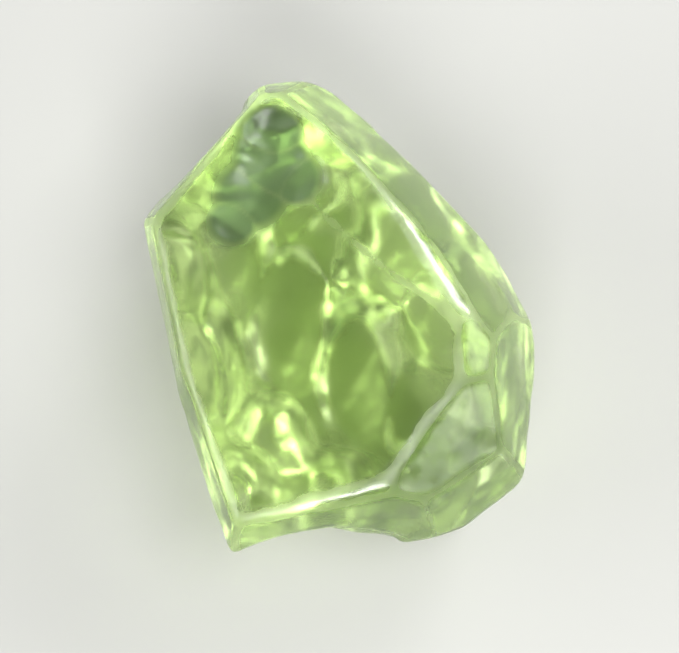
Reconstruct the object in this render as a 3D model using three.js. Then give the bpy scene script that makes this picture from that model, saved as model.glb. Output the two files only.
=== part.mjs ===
// A tumbled chip of peridot, as sold by weight for gravel and craft work: one clear
// yellow-green crystal fragment, broken from a larger one and worn smooth by tumbling.
// Millimetres, +Z up. The chip lies on its flat rest face at z = 0, and the origin is
// the middle of its footprint.
import * as THREE from 'three';
import { mergeVertices } from 'three/addons/utils/BufferGeometryUtils.js';

// Driving dimensions
const thickness = 3.6; // rest face to about the middle of the table
const edgeRadius = 0.18; // how far tumbling has worn the edges round
const meshDetail = 21; // splits of each icosahedron edge
const meshSpread = new THREE.Vector3(1, 1.25, 0.7); // the mesh's ball, drawn out like the chip
const searchReach = 6; // longer than any half diagonal of the chip
const searchSteps = 40; // halvings, far finer than the mesh

// The sides, anticlockwise from the right as seen from above. Azimuth is where a side
// faces, outline is how far out its edge lies, and height is how high that edge lies above
// the chip's mid height. The two tilts are how far its face above the edge leans back and
// its face below the edge leans under.
const sides = [
  { name: 'right side', azimuth: -6, outline: 2.78, height: -0.25, upperTilt: 18, lowerTilt: 21 },
  { name: 'right shoulder', azimuth: 26, outline: 2.4, height: 0, upperTilt: 22, lowerTilt: 30 },
  { name: 'long upper right side', azimuth: 44, outline: 2.26, height: 0.35, upperTilt: 30, lowerTilt: 17 },
  { name: 'top end', azimuth: 95, outline: 3.46, height: 0.45, upperTilt: 30, lowerTilt: 31 },
  { name: 'upper left side', azimuth: 142, outline: 3.08, height: 0.2, upperTilt: 21, lowerTilt: 23 },
  { name: 'left side', azimuth: 192, outline: 2.45, height: 0.5, upperTilt: 7, lowerTilt: 27 },
  { name: 'lower left side', azimuth: 199, outline: 2.57, height: 0.3, upperTilt: 9, lowerTilt: 16 },
  { name: 'lower left corner', azimuth: 208, outline: 3.06, height: 0.25, upperTilt: 10, lowerTilt: 13 },
  { name: 'bottom end', azimuth: 279, outline: 3.29, height: -0.1, upperTilt: 9, lowerTilt: 29 },
  { name: 'lower right corner', azimuth: 308, outline: 3.33, height: -0.35, upperTilt: 12, lowerTilt: 27 },
];

// The other faces. Tilt is how far a face looks up, or down where it is negative, and
// reach is how far it lies from the chip's middle. Bend is the radius of its swell, or of
// its dish where it is negative; without one it is flat.
const faces = [
  { name: 'rest face', azimuth: 0, tilt: -90, reach: thickness / 2 },
  { name: 'table', azimuth: 205, tilt: 82, reach: 1.72, bend: 40 },
  { name: 'upper table', azimuth: 66, tilt: 81, reach: 1.84 },
  { name: 'long bevel', azimuth: 38, tilt: 37, reach: 2.03, bend: 14 },
  { name: 'lower right slope', azimuth: 312, tilt: 40, reach: 2.84, bend: -9 },
  { name: 'worn ridge above the long bevel', azimuth: 41, tilt: 67, reach: 2 },
  { name: 'worn ridge above the right side', azimuth: -8, tilt: 65, reach: 2.38 },
  { name: 'worn lip above the bite', azimuth: 272, tilt: 54, reach: 2.9 },
  { name: 'front keel', azimuth: 236, tilt: -50, reach: 2.26 },
  { name: 'back heel', azimuth: 28, tilt: -56, reach: 1.98 },
];

// Shell-shaped hollows where flakes have sprung off, as balls cut from the stone. The long
// ones in the underside have a radius of their own along each of x, y and z.
const hollows = [
  { name: 'bite in the bottom end', centre: [-0.26, -4.4, -0.6], radius: 1.7 },
  { name: 'window, the dish at the top left', centre: [-1, 1.74, 2.62], radius: 1.12 },
  { name: 'tail of the window', centre: [-1.42, 1.2, 2.8], radius: 1.28 },
  { name: 'nick in the upper left side', centre: [-2.62, 2.95, 0.6], radius: 1.25 },
  { name: 'flake under the long side', centre: [2.05, 1.98, -2.89], radius: 1.9 },
  { name: 'flake under the upper left corner', centre: [-3.9, 1.6, -2.2], radius: 2.3 },
  { name: 'shell at the left of the keel', centre: [-2.01, -0.74, -1.82], radii: [0.95, 1.5, 1.4] },
  { name: 'lower middle shell', centre: [-0.84, -1.93, -2.63], radii: [0.9, 1.4, 1.5] },
  { name: 'upper middle shell', centre: [0.93, 1.48, -2.66], radii: [0.95, 1.6, 1.5] },
  { name: 'lower right shell', centre: [0.09, -2.69, -2.44], radii: [1, 1.3, 1.4] },
  { name: 'heel shell', centre: [1.75, 0.72, -2.35], radii: [0.95, 1.6, 1.4] },
  { name: 'right edge shell', centre: [2.44, -0.32, -2.1], radii: [0.9, 1.3, 1.2] },
  { name: 'keel shell', centre: [-1.56, -2.63, -1.69], radii: [1, 1.2, 1.4] },
  { name: 'upper shell of the left side', centre: [-2.67, 0.42, -0.92], radii: [1, 1.3, 1] },
  { name: 'lower shell of the left side', centre: [-2.42, -1.12, -0.65], radii: [0.9, 1.3, 1] },
  { name: 'top shell', centre: [0.62, 3.1, -1.12], radii: [1.1, 0.9, 1.1] },
];

const radians = THREE.MathUtils.degToRad;

// The way a face looks, from its azimuth and its tilt above the horizon
function facing(azimuth, tilt) {
  const level = Math.cos(radians(tilt));
  return new THREE.Vector3(
    level * Math.cos(radians(azimuth)),
    level * Math.sin(radians(azimuth)),
    Math.sin(radians(tilt)),
  );
}

// Each side has an upper and a lower face that meet at its edge
function facesOfSide({ azimuth, outline, height, upperTilt, lowerTilt }) {
  return [upperTilt, -lowerTilt].map((tilt) => ({
    azimuth,
    tilt,
    reach: outline * Math.cos(radians(tilt)) + height * Math.sin(radians(tilt)),
  }));
}

// How far a point lies outside a face: less than nothing when it is inside
function outsideFace({ azimuth, tilt, reach, bend }) {
  const normal = facing(azimuth, tilt);
  if (!bend) return (point) => normal.dot(point) - reach;
  const centre = normal.clone().multiplyScalar(reach - bend);
  return (point) => Math.sign(bend) * (point.distanceTo(centre) - Math.abs(bend));
}

// The same for a hollow, measured away from the hollow's own middle
function outsideHollow({ centre, radius, radii = [radius, radius, radius] }) {
  const middle = new THREE.Vector3(...centre);
  const halfLengths = new THREE.Vector3(...radii);
  return (point) => {
    const away = point.clone().sub(middle);
    const share = away.clone().divide(halfLengths).length();
    return (away.length() * (1 - share)) / share;
  };
}

// Faces meet in edges that are worn to edgeRadius; away from the edges they keep their form
function wornStone(limits) {
  return (point) => {
    let most = -Infinity;
    let squares = 0;
    for (const outside of limits) {
      const distance = outside(point);
      most = Math.max(most, distance);
      squares += Math.max(edgeRadius + distance, 0) ** 2;
    }
    return Math.min(-edgeRadius, most) + Math.sqrt(squares);
  };
}

// Where a ray from the chip's middle leaves the stone
function surfaceAlong(direction, stone) {
  let near = 0;
  let far = searchReach;
  const point = new THREE.Vector3();
  for (let step = 0; step < searchSteps; step += 1) {
    const middle = (near + far) / 2;
    point.copy(direction).multiplyScalar(middle);
    if (stone(point) < 0) near = middle;
    else far = middle;
  }
  return point.copy(direction).multiplyScalar(near);
}

function chipGeometry() {
  const stone = wornStone([
    ...sides.flatMap(facesOfSide).map(outsideFace),
    ...faces.map(outsideFace),
    ...hollows.map(outsideHollow),
  ]);
  const ball = new THREE.IcosahedronGeometry(1, meshDetail);
  ball.deleteAttribute('normal');
  ball.deleteAttribute('uv');
  const geometry = mergeVertices(ball);
  const places = geometry.getAttribute('position');
  const direction = new THREE.Vector3();
  for (let i = 0; i < places.count; i += 1) {
    direction.fromBufferAttribute(places, i).multiply(meshSpread).normalize();
    const point = surfaceAlong(direction, stone);
    places.setXYZ(i, point.x, point.y, point.z);
  }
  standOnFootprint(geometry);
  geometry.computeVertexNormals();
  return geometry;
}

// Moves the chip so that its rest face is at z = 0 and its footprint's middle at the origin
function standOnFootprint(geometry) {
  geometry.computeBoundingBox();
  const { min, max } = geometry.boundingBox;
  geometry.translate(-(min.x + max.x) / 2, -(min.y + max.y) / 2, -min.z);
}

const peridot = new THREE.MeshPhysicalMaterial({
  color: 0xa3bf5a,
  roughness: 0.12,
  metalness: 0,
  transmission: 1,
  ior: 1.67,
});

const chip = new THREE.Mesh(chipGeometry(), peridot);
chip.name = 'peridot_crystal';

const part = new THREE.Group();
part.add(chip);

export default part;
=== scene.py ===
import math
import bpy
import numpy as np
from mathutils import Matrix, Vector


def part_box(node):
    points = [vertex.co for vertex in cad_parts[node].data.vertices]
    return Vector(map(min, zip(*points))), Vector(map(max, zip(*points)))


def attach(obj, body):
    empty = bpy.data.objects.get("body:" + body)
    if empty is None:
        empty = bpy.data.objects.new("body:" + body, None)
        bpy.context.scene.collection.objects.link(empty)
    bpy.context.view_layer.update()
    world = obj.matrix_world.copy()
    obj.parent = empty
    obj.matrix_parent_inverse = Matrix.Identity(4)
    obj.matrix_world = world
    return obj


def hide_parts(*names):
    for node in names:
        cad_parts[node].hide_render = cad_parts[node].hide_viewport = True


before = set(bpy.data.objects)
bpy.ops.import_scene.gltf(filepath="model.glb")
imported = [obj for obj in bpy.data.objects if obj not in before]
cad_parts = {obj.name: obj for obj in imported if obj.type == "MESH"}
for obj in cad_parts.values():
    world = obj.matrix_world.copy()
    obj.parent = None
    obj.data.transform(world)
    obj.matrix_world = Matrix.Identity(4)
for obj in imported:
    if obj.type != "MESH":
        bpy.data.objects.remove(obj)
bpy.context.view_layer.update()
cadLow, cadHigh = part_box("peridot_crystal")
print("frame loaded")

mm = 0.001  # metres in a millimetre

# One tumbled chip of peridot. It is modelled at one unit a millimetre, around the middle of its
# height, and brought to metres at the end. Angles are in degrees.
crystal = {
    "roughSize": 9,  # edge of the cube that it is cut from
    # azimuth, how far out its edge lies, that edge's height, lean of the face above it and below it
    "sides": {
        "right side": (-6, 2.78, -0.25, 18, 21),
        "right shoulder": (26, 2.4, 0, 22, 30),
        "long upper right side": (44, 2.26, 0.35, 30, 17),
        "top end": (95, 3.46, 0.45, 30, 31),
        "upper left side": (142, 3.08, 0.2, 21, 23),
        "left side": (192, 2.45, 0.5, 7, 27),
        "lower left side": (199, 2.57, 0.3, 9, 16),
        "lower left corner": (208, 3.06, 0.25, 10, 13),
        "bottom end": (279, 3.29, -0.1, 9, 29),
        "lower right corner": (308, 3.33, -0.35, 12, 27),
    },
    # azimuth, tilt above the horizon, distance from the middle
    "faces": {
        "rest face": (0, -90, 1.8),
        "upper table": (66, 81, 1.84),
        "front keel": (236, -50, 2.26),
        "back heel": (28, -56, 1.98),
        "worn right ridge": (41, 67, 2),
        "worn right corner": (-8, 65, 2.38),
        "worn lip": (272, 54, 2.9),
    },
    # the same for the faces that aren't flat, and the radius of their swell, or dish where negative
    "curvedFaces": {
        "table": (205, 82, 1.72, 40),
        "long bevel": (38, 37, 2.03, 14),
        "lower right slope": (312, 40, 2.84, -9),
    },
    "slopeDullnessAndShade": 0.4,  # how much dull skin the lower right slope has, which is also tinted dark grey as painted shade, where 1 is all of it
    # centre and radius of the ball that each worn hollow is scooped with, and its dullness, which also
    # sets how much dark grey painted shade it gets
    "hollows": {
        "bite": ((-0.26, -4.4, -0.6), 1.7, 0.4),
        "upper left nick": ((-2.62, 2.95, 0.6), 1.25, 0.4),
        "long side flake": ((2.05, 1.98, -2.89), 1.9, 0.3),
        "upper left flake": ((-3.9, 1.6, -2.2), 2.3, 0.3),
    },
    # the same for the window at the top left, whose flakes sprang off after the edges were worn
    "window": {
        "dish": ((-1, 1.74, 2.62), 1.12, 1),
        "tail": ((-1.42, 1.2, 2.8), 1.28, 1),
        "upper chip": ((-0.95, 2.16, 2.02), 0.58, 1),
        "lower chip": ((-1.56, 0.84, 2.05), 0.58, 1),
        "side chip": ((-0.66, 1.5, 2.2), 0.64, 1),
    },
    # centre, and radius along x, y and z, of the long balls that the underside's shells are scooped with
    "shells": {
        "shell under the left of the table": ((-1.3, 1, -2.98), (0.95, 1.7, 1.5)),
        "shell at the left of the keel": ((-2.01, -0.74, -1.82), (0.95, 1.5, 1.4)),
        "shell under the window": ((-0.5, 2.05, -3.04), (1, 1.3, 1.5)),
        "middle left shell": ((-0.5, 0.25, -2.96), (0.95, 1.7, 1.5)),
        "lower middle shell": ((-0.84, -1.93, -2.63), (0.9, 1.4, 1.5)),
        "upper middle shell": ((0.93, 1.48, -2.66), (0.95, 1.6, 1.5)),
        "middle right shell": ((0.4, -0.5, -2.96), (0.9, 1.7, 1.5)),
        "lower right shell": ((0.09, -2.69, -2.44), (1, 1.3, 1.4)),
        "heel shell": ((1.75, 0.72, -2.35), (0.95, 1.6, 1.4)),
        "right shell": ((1.25, -1.2, -2.9), (0.9, 1.5, 1.4)),
        "right edge shell": ((2.44, -0.32, -2.1), (0.9, 1.3, 1.2)),
        "corner shell": ((1.6, -2.1, -2.74), (1, 1, 1.2)),
        "keel shell": ((-1.56, -2.63, -1.69), (1, 1.2, 1.4)),
        "upper shell of the left side": ((-2.67, 0.42, -0.92), (1, 1.3, 1)),
        "lower shell of the left side": ((-2.42, -1.12, -0.65), (0.9, 1.3, 1)),
        "top shell": ((0.62, 3.1, -1.12), (1.1, 0.9, 1.1)),
    },
    "ballDetail": 6,  # subdivisions of each ball
    "grain": 0.042,  # edge of the finished mesh's squares
    "smoothing": 0.5,  # how far each round of smoothing moves a point to the middle of those round it
    "wearRounds": 42,  # rounds that wear the edges round
    "shellRounds": 14,  # rounds that soften the ridges between the shells
    "polishRounds": 8,  # rounds that soften the relief
    "wearWidth": 0.45,  # how far from an edge the wear reaches
    "wearDepth": 0.02,  # how far the wear cuts back an edge that it frosts all over
    "fractureAndShadeWidth": 0.1,  # how far from a hollow its dull skin and its painted shade reach
    # how steeply a point faces down where the underside starts, and where it is full, of 1 straight down
    "undersideFrom": 0.2,
    "undersideTo": 0.5,
    "reliefPlace": (0.5, 0.5, 0),
    # each relief: its texture, its size along x, y and z, its height, the level of the texture that
    # moves nothing, the group of points that has it, and the texture's settings
    "reliefs": {
        "waviness of every face": (
            "CLOUDS", (1.8, 2.3, 1.8), 0.05, 0.5, "",
            {"noise_depth": 1},
        ),
        "small shells": (
            "VORONOI", (0.9, 1.6, 0.9), 0.1, 1, "underside",
            {"distance_metric": "DISTANCE_SQUARED", "noise_intensity": 1.6, "use_clamp": True},
        ),
        "steps along the crystal": (
            "WOOD", (1.3, 7, 5), 0.05, 1, "underside",
            {"wood_type": "BANDNOISE", "turbulence": 4},
        ),
        "nicks along the edges": (
            "CLOUDS", (0.35, 0.35, 0.35), 0.035, 0.5, "edges",
            {"noise_depth": 0},
        ),
        "hackle in the hollows": (
            "CLOUDS", (0.6, 0.35, 0.5), 0.15, 0.5, "fractures",
            {"noise_depth": 1},
        ),
    },
    # place, radius and depth of each small knock
    "knocks": [
        ((-0.2, -0.05, 1.74), 0.32, 0.07),
        ((0.8, -0.45, 1.82), 0.35, 0.06),
    ],
}


def facing(azimuth, tilt):
    a = math.radians(azimuth)
    t = math.radians(tilt)
    return Vector((math.cos(t) * math.cos(a), math.cos(t) * math.sin(a), math.sin(t)))


def flatFaces():
    # each side gives one face above its edge and one below it
    found = []
    for azimuth, outline, height, above, below in crystal["sides"].values():
        for tilt in (above, -below):
            level = math.radians(tilt)
            found.append((facing(azimuth, tilt), outline * math.cos(level) + height * math.sin(level)))
    for azimuth, tilt, reach in crystal["faces"].values():
        found.append((facing(azimuth, tilt), reach))
    return found


def curvedBalls():
    # a swelling face is part of a large ball round the stone, a dished one is part of a ball beside it
    return [
        (facing(azimuth, tilt) * (reach - bend), bend)
        for azimuth, tilt, reach, bend in crystal["curvedFaces"].values()
    ]


def useModifier(piece, kind, **settings):
    bpy.context.view_layer.objects.active = piece
    modifier = piece.modifiers.new(kind.lower(), kind)
    for name, value in settings.items():
        setattr(modifier, name, value)
    bpy.ops.object.modifier_apply(modifier=modifier.name)


def cutFlatFaces():
    bpy.ops.object.select_all(action="DESELECT")
    bpy.ops.mesh.primitive_cube_add(size=crystal["roughSize"])
    chip = bpy.context.object
    bpy.ops.object.mode_set(mode="EDIT")
    for normal, reach in flatFaces():
        bpy.ops.mesh.select_all(action="SELECT")
        bpy.ops.mesh.bisect(plane_co=normal * reach, plane_no=normal, use_fill=True, clear_outer=True)
    bpy.ops.object.mode_set(mode="OBJECT")
    return chip


def cutWithBall(chip, centre, radii, operation="DIFFERENCE"):
    bpy.ops.object.select_all(action="DESELECT")
    bpy.ops.mesh.primitive_ico_sphere_add(subdivisions=crystal["ballDetail"], radius=1,
                                          location=centre, scale=radii)
    ball = bpy.context.object
    useModifier(chip, "BOOLEAN", operation=operation, solver="MANIFOLD", object=ball)
    bpy.data.objects.remove(ball)


def cutHollows(chip, hollows):
    for centre, radius, _ in hollows.values():
        cutWithBall(chip, centre, (radius,) * 3)


def smooth(chip, rounds):
    useModifier(chip, "SMOOTH", factor=crystal["smoothing"], iterations=rounds)


def wearRound(chip, rounds):
    # the mesh is made even first, so that all edges wear alike
    useModifier(chip, "REMESH", mode="VOXEL", voxel_size=crystal["grain"])
    smooth(chip, rounds)


def shapeChip():
    chip = cutFlatFaces()
    for centre, bend in curvedBalls():
        cutWithBall(chip, centre, (abs(bend),) * 3, "INTERSECT" if bend > 0 else "DIFFERENCE")
    cutHollows(chip, crystal["hollows"])
    wearRound(chip, crystal["wearRounds"])
    cutHollows(chip, crystal["window"])
    for centre, radii in crystal["shells"].values():
        cutWithBall(chip, centre, radii)
    wearRound(chip, crystal["shellRounds"])
    return chip


def meshValues(mesh, kind, name):
    values = np.empty(len(mesh.vertices) * 3)
    getattr(mesh, kind).foreach_get(name, values)
    return values.reshape(-1, 3)


def depthsInside(points):
    # how far each point lies inside each flat face, curved face, hollow and part of the window
    depths = [reach - points @ np.array(normal) for normal, reach in flatFaces()]
    for centre, bend in curvedBalls():
        depths.append(np.sign(bend) * (abs(bend) - np.linalg.norm(points - np.array(centre), axis=1)))
    for centre, radius, _ in (*crystal["hollows"].values(), *crystal["window"].values()):
        depths.append(np.linalg.norm(points - np.array(centre), axis=1) - radius)
    return np.array(depths)


def wearOf(depths):
    # a point is on a worn edge when it is near two faces at once and below both of them, and the
    # window came too late to have worn edges of its own
    first, second = np.sort(depths[:-len(crystal["window"])], axis=0)[:2]
    wear = np.clip(1 - second / crystal["wearWidth"], 0, 1)
    return wear * np.clip(first / crystal["wearDepth"], 0, 1)


def fractureAndShadeOf(depths):
    # how near each point is to broken skin, which is made rough and also tinted dark grey as painted
    # shade
    # the lower right slope is the last face before the hollows and the window
    hollows = (*crystal["hollows"].values(), *crystal["window"].values())
    dullnessAndShade = [crystal["slopeDullnessAndShade"], *(dullAndShade for _, _, dullAndShade in hollows)]
    nearness = np.clip(1 - depths[-len(dullnessAndShade):] / crystal["fractureAndShadeWidth"], 0, 1)
    return (nearness * np.array(dullnessAndShade)[:, None]).max(axis=0)


def undersideOf(mesh):
    down = -meshValues(mesh, "vertex_normals", "vector")[:, 2]
    span = crystal["undersideTo"] - crystal["undersideFrom"]
    return np.clip((down - crystal["undersideFrom"]) / span, 0, 1)


def addAttribute(mesh, name, values):
    attribute = mesh.attributes.new(name, "FLOAT", "POINT")
    attribute.data.foreach_set("value", values.astype(np.float32))


def addGroup(chip, name, weights):
    group = chip.vertex_groups.new(name=name)
    for index in np.nonzero(weights)[0]:
        group.add([int(index)], float(weights[index]), "REPLACE")


def markParts(chip):
    # attributes for the material, and groups for the reliefs
    depths = depthsInside(meshValues(chip.data, "vertices", "co"))
    wear = wearOf(depths)
    fractureAndShade = fractureAndShadeOf(depths)
    addAttribute(chip.data, "wear", wear)
    addAttribute(chip.data, "fractureAndShade", fractureAndShade)
    addGroup(chip, "edges", wear)
    addGroup(chip, "fractures", fractureAndShade)
    addGroup(chip, "underside", undersideOf(chip.data) * (1 - wear))


def displace(chip, texture, place, size, height, level, group=""):
    # the texture's own size is one unit, and an empty sets where it is and how large
    bpy.ops.object.empty_add(location=place)
    pattern = bpy.context.object
    pattern.scale = size
    bpy.context.view_layer.update()
    useModifier(chip, "DISPLACE", texture=texture, texture_coords="OBJECT",
                texture_coords_object=pattern, strength=height, mid_level=level, vertex_group=group)
    bpy.data.objects.remove(pattern)


def addReliefs(chip):
    for name, (kind, size, height, level, group, settings) in crystal["reliefs"].items():
        texture = bpy.data.textures.new(name, kind)
        texture.noise_scale = 1
        for setting, value in settings.items():
            setattr(texture, setting, value)
        displace(chip, texture, crystal["reliefPlace"], size, height, level, group)


def addKnocks(chip):
    texture = bpy.data.textures.new("knock", "BLEND")
    texture.progression = "SPHERICAL"
    for place, radius, depth in crystal["knocks"]:
        displace(chip, texture, place, (radius,) * 3, -depth, 0)


def placeInFrame(chip):
    # brought to metres and to the exact box of the solid that it stands for
    corners = meshValues(chip.data, "vertices", "co")
    low, high = corners.min(axis=0), corners.max(axis=0)
    scale = (np.array(cadHigh) - np.array(cadLow)) / (high - low)
    chip.scale = scale
    chip.location = np.array(cadLow) - low * scale
    bpy.ops.object.select_all(action="DESELECT")
    chip.select_set(True)
    bpy.context.view_layer.objects.active = chip
    bpy.ops.object.transform_apply(location=True, rotation=True, scale=True)
    bpy.ops.object.shade_smooth()


def makeCrystal():
    chip = shapeChip()
    chip.name = "peridotChip"
    markParts(chip)
    addReliefs(chip)
    addKnocks(chip)
    smooth(chip, crystal["polishRounds"])
    placeInFrame(chip)
    return chip


def linear(hexColour):
    # an sRGB hex value as linear red, green and blue, with the alpha of a colour socket
    parts = [int(hexColour[i:i + 2], 16) / 255 for i in (1, 3, 5)]
    return (*(c / 12.92 if c <= 0.04045 else ((c + 0.055) / 1.055) ** 2.4 for c in parts), 1)


def addNode(tree, kind, settings=None, links=None):
    node = tree.nodes.new(kind)
    for name, value in (settings or {}).items():
        if name in node.inputs:
            node.inputs[name].default_value = value
        else:
            setattr(node, name, value)
    for name, source in (links or {}).items():
        tree.links.new(source, node.inputs[name])
    return node


# Peridot is gem olivine: a clear glassy crystal of high index, yellow-green through and through.
# Tumbling polished its faces, so they show the far side bent and bright. It knocked its edges, which
# are finely frosted and pale. It never reached into the window, whose broken skin is dull; that skin,
# the hollows and the lower right slope are tinted dark grey as painted shade.
peridot = {
    "index": 1.67,
    "absorbing": "#CCEA3C",
    "absorption": 150,  # a metre
    # the surface's tint where it is polished and where its edges are knocked, and the dark grey painted
    # shade where it is broken
    "tint": "#EBFACB",
    "wornTint": "#FAFDF0",
    "paintedShadeTint": "#566A5B",
    # roughness of the same three
    "polished": 0.15,
    "frosted": 0.4,
    "unpolished": 0.36,
    "wornFrom": 0.15,  # the wear at which the frosting starts, and where it is full
    "wornTo": 0.4,
    # size in mm and detail of the patches that the frosting comes in
    "patchSize": 0.35,
    "patchDetail": 4,
    # size and depth in mm, and detail, of the polished faces' ripples
    "rippleSize": 0.35,
    "rippleDepth": 0.006,
    "rippleDetail": 1,
    # the same for the fine pits
    "pitSize": 0.03,
    "pitDepth": 0.0012,
    "pitDetail": 3,
}


def peridotMaterial():
    material = bpy.data.materials.new("tumbled peridot")
    material.use_nodes = True
    tree = material.node_tree
    tree.nodes.clear()
    place = addNode(tree, "ShaderNodeTexCoord").outputs["Object"]
    wear = addNode(tree, "ShaderNodeAttribute", {"attribute_name": "wear"}).outputs["Fac"]
    # broken skin: rough, and tinted dark grey as painted shade
    fractureAndShade = addNode(tree, "ShaderNodeAttribute", {"attribute_name": "fractureAndShade"}).outputs["Fac"]
    patches = addNode(tree, "ShaderNodeTexNoise",
                      {"Scale": 1 / (peridot["patchSize"] * mm), "Detail": peridot["patchDetail"]},
                      {"Vector": place})
    worn = addNode(tree, "ShaderNodeMath", {"operation": "MULTIPLY"},
                   {0: wear, 1: patches.outputs["Fac"]})
    frosting = addNode(tree, "ShaderNodeMapRange",
                       {"From Min": peridot["wornFrom"], "From Max": peridot["wornTo"]},
                       {"Value": worn.outputs[0]})
    edgeRoughness = addNode(tree, "ShaderNodeMapRange",
                            {"To Min": peridot["polished"], "To Max": peridot["frosted"]},
                            {"Value": frosting.outputs["Result"]})
    roughness = addNode(tree, "ShaderNodeMapRange", {"To Max": peridot["unpolished"]},
                        {"Value": fractureAndShade, "To Min": edgeRoughness.outputs["Result"]})
    edgeTint = addNode(tree, "ShaderNodeMixRGB",
                       {"Color1": linear(peridot["tint"]), "Color2": linear(peridot["wornTint"])},
                       {"Fac": frosting.outputs["Result"]})
    # where the skin is broken, the tint turns dark grey: painted shade
    tintAndPaintedShade = addNode(tree, "ShaderNodeMixRGB", {"Color2": linear(peridot["paintedShadeTint"])},
                   {"Fac": fractureAndShade, "Color1": edgeTint.outputs["Color"]})
    ripples = addNode(tree, "ShaderNodeTexNoise",
                      {"Scale": 1 / (peridot["rippleSize"] * mm), "Detail": peridot["rippleDetail"]},
                      {"Vector": place})
    pits = addNode(tree, "ShaderNodeTexNoise",
                   {"Scale": 1 / (peridot["pitSize"] * mm), "Detail": peridot["pitDetail"]},
                   {"Vector": place})
    wavy = addNode(tree, "ShaderNodeBump", {"Distance": peridot["rippleDepth"] * mm},
                   {"Height": ripples.outputs["Fac"]})
    pitted = addNode(tree, "ShaderNodeBump", {"Distance": peridot["pitDepth"] * mm},
                     {"Height": pits.outputs["Fac"], "Normal": wavy.outputs["Normal"]})
    surface = addNode(tree, "ShaderNodeBsdfPrincipled",
                      {"IOR": peridot["index"], "Transmission Weight": 1},
                      {"Base Color": tintAndPaintedShade.outputs["Color"], "Roughness": roughness.outputs["Result"],
                       "Normal": pitted.outputs["Normal"]})
    body = addNode(tree, "ShaderNodeVolumeAbsorption",
                   {"Color": linear(peridot["absorbing"]), "Density": peridot["absorption"]})
    addNode(tree, "ShaderNodeOutputMaterial", {},
            {"Surface": surface.outputs["BSDF"], "Volume": body.outputs["Volume"]})
    return material


stone = makeCrystal()
stone.data.materials.clear()
stone.data.materials.append(peridotMaterial())
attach(stone, "root")
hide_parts("peridot_crystal")
print("crystal made", len(stone.data.polygons), "faces")

floor = {
    "size": 0.4,
    "gap": 0.04,  # mm below the rest face, so that the two never share a plane
    "colour": "#BABAB6",
    "roughness": 0.9,
}


def makeFloor():
    bpy.ops.object.select_all(action="DESELECT")
    bpy.ops.mesh.primitive_plane_add(size=floor["size"], location=(0, 0, -floor["gap"] * mm))
    paper = bpy.context.object
    paper.name = "floor"
    bpy.ops.object.transform_apply(location=True, rotation=True, scale=True)
    material = bpy.data.materials.new("matt paper")
    material.use_nodes = True
    shader = material.node_tree.nodes["Principled BSDF"]
    shader.inputs["Base Color"].default_value = linear(floor["colour"])
    shader.inputs["Roughness"].default_value = floor["roughness"]
    paper.data.materials.append(material)


makeFloor()
print("floor laid")

studio = {
    "sky": "#F2F5F7",
    "horizon": 0.4,  # brightness of the sky all round, and overhead
    "overhead": 0.2,
    # height of the sky, from 0 at the horizon to 1 overhead, where the one starts to fade and where
    # the other is reached
    "fadeFrom": 0.1,
    "fadeTo": 0.85,
    # azimuth, elevation, width and height in metres, and brightness of each soft box
    "boxes": {
        "top box": (318, 66, 0.045, 0.045, 8),
        "back right box": (36, 36, 0.11, 0.05, 2.6),
        "ridge box": (52, 30, 0.035, 0.012, 17),
        "low back box": (106, 9, 0.13, 0.03, 2.4),
        "left box": (186, 24, 0.07, 0.04, 6),
        "front box": (272, 42, 0.05, 0.025, 18),
        "right box": (325, 8, 0.05, 0.03, 3),
    },
    "boxDistance": 0.1,
}


def lightSky():
    world = bpy.data.worlds.new("soft studio")
    world.use_nodes = True
    bpy.context.scene.world = world
    tree = world.node_tree
    tree.nodes.clear()
    direction = addNode(tree, "ShaderNodeTexCoord").outputs["Generated"]
    up = addNode(tree, "ShaderNodeSeparateXYZ", {}, {"Vector": direction}).outputs["Z"]
    strength = addNode(tree, "ShaderNodeMapRange",
                       {"interpolation_type": "SMOOTHSTEP",
                        "From Min": studio["fadeFrom"], "From Max": studio["fadeTo"],
                        "To Min": studio["horizon"], "To Max": studio["overhead"]}, {"Value": up})
    sky = addNode(tree, "ShaderNodeBackground", {"Color": linear(studio["sky"])},
                  {"Strength": strength.outputs["Result"]})
    addNode(tree, "ShaderNodeOutputWorld", {}, {"Surface": sky.outputs["Background"]})


def hangBoxes():
    for name, (azimuth, elevation, width, height, brightness) in studio["boxes"].items():
        data = bpy.data.lights.new(name, "AREA")
        data.shape = "RECTANGLE"
        data.size = width
        data.size_y = height
        data.energy = brightness * math.pi * width * height  # so that it looks that bright at any size
        box = bpy.data.objects.new(name, data)
        box.location = facing(azimuth, elevation) * studio["boxDistance"]
        box.rotation_euler = facing(azimuth, elevation).to_track_quat("Z", "Y").to_euler()
        bpy.context.collection.objects.link(box)


lightSky()
hangBoxes()
print("studio lit")

# lengths are in metres unless a note says otherwise
view = {
    "azimuth": 270,  # the side that the camera stands on, as a direction from the stone
    "elevation": 70,
    "lens": 200,  # mm
    "distance": 0.052,
    "aim": (0, 0, 1.6),  # mm
    "near": 0.001,  # the nearest and the farthest that it sees
    "far": 10,
    "bounces": 24,  # enough for light to get through the stone and out again
}


def placeCamera():
    data = bpy.data.cameras.new("camera")
    data.lens = view["lens"]
    data.clip_start = view["near"]
    data.clip_end = view["far"]
    camera = bpy.data.objects.new("camera", data)
    away = facing(view["azimuth"], view["elevation"])
    camera.location = Vector(view["aim"]) * mm + away * view["distance"]
    camera.rotation_euler = away.to_track_quat("Z", "Y").to_euler()
    bpy.context.collection.objects.link(camera)
    bpy.context.scene.camera = camera


placeCamera()
cycles = bpy.context.scene.cycles
cycles.max_bounces = view["bounces"]
cycles.transmission_bounces = view["bounces"]
cycles.use_denoising = True
bpy.context.scene.view_settings.view_transform = "Standard"
print("camera placed")
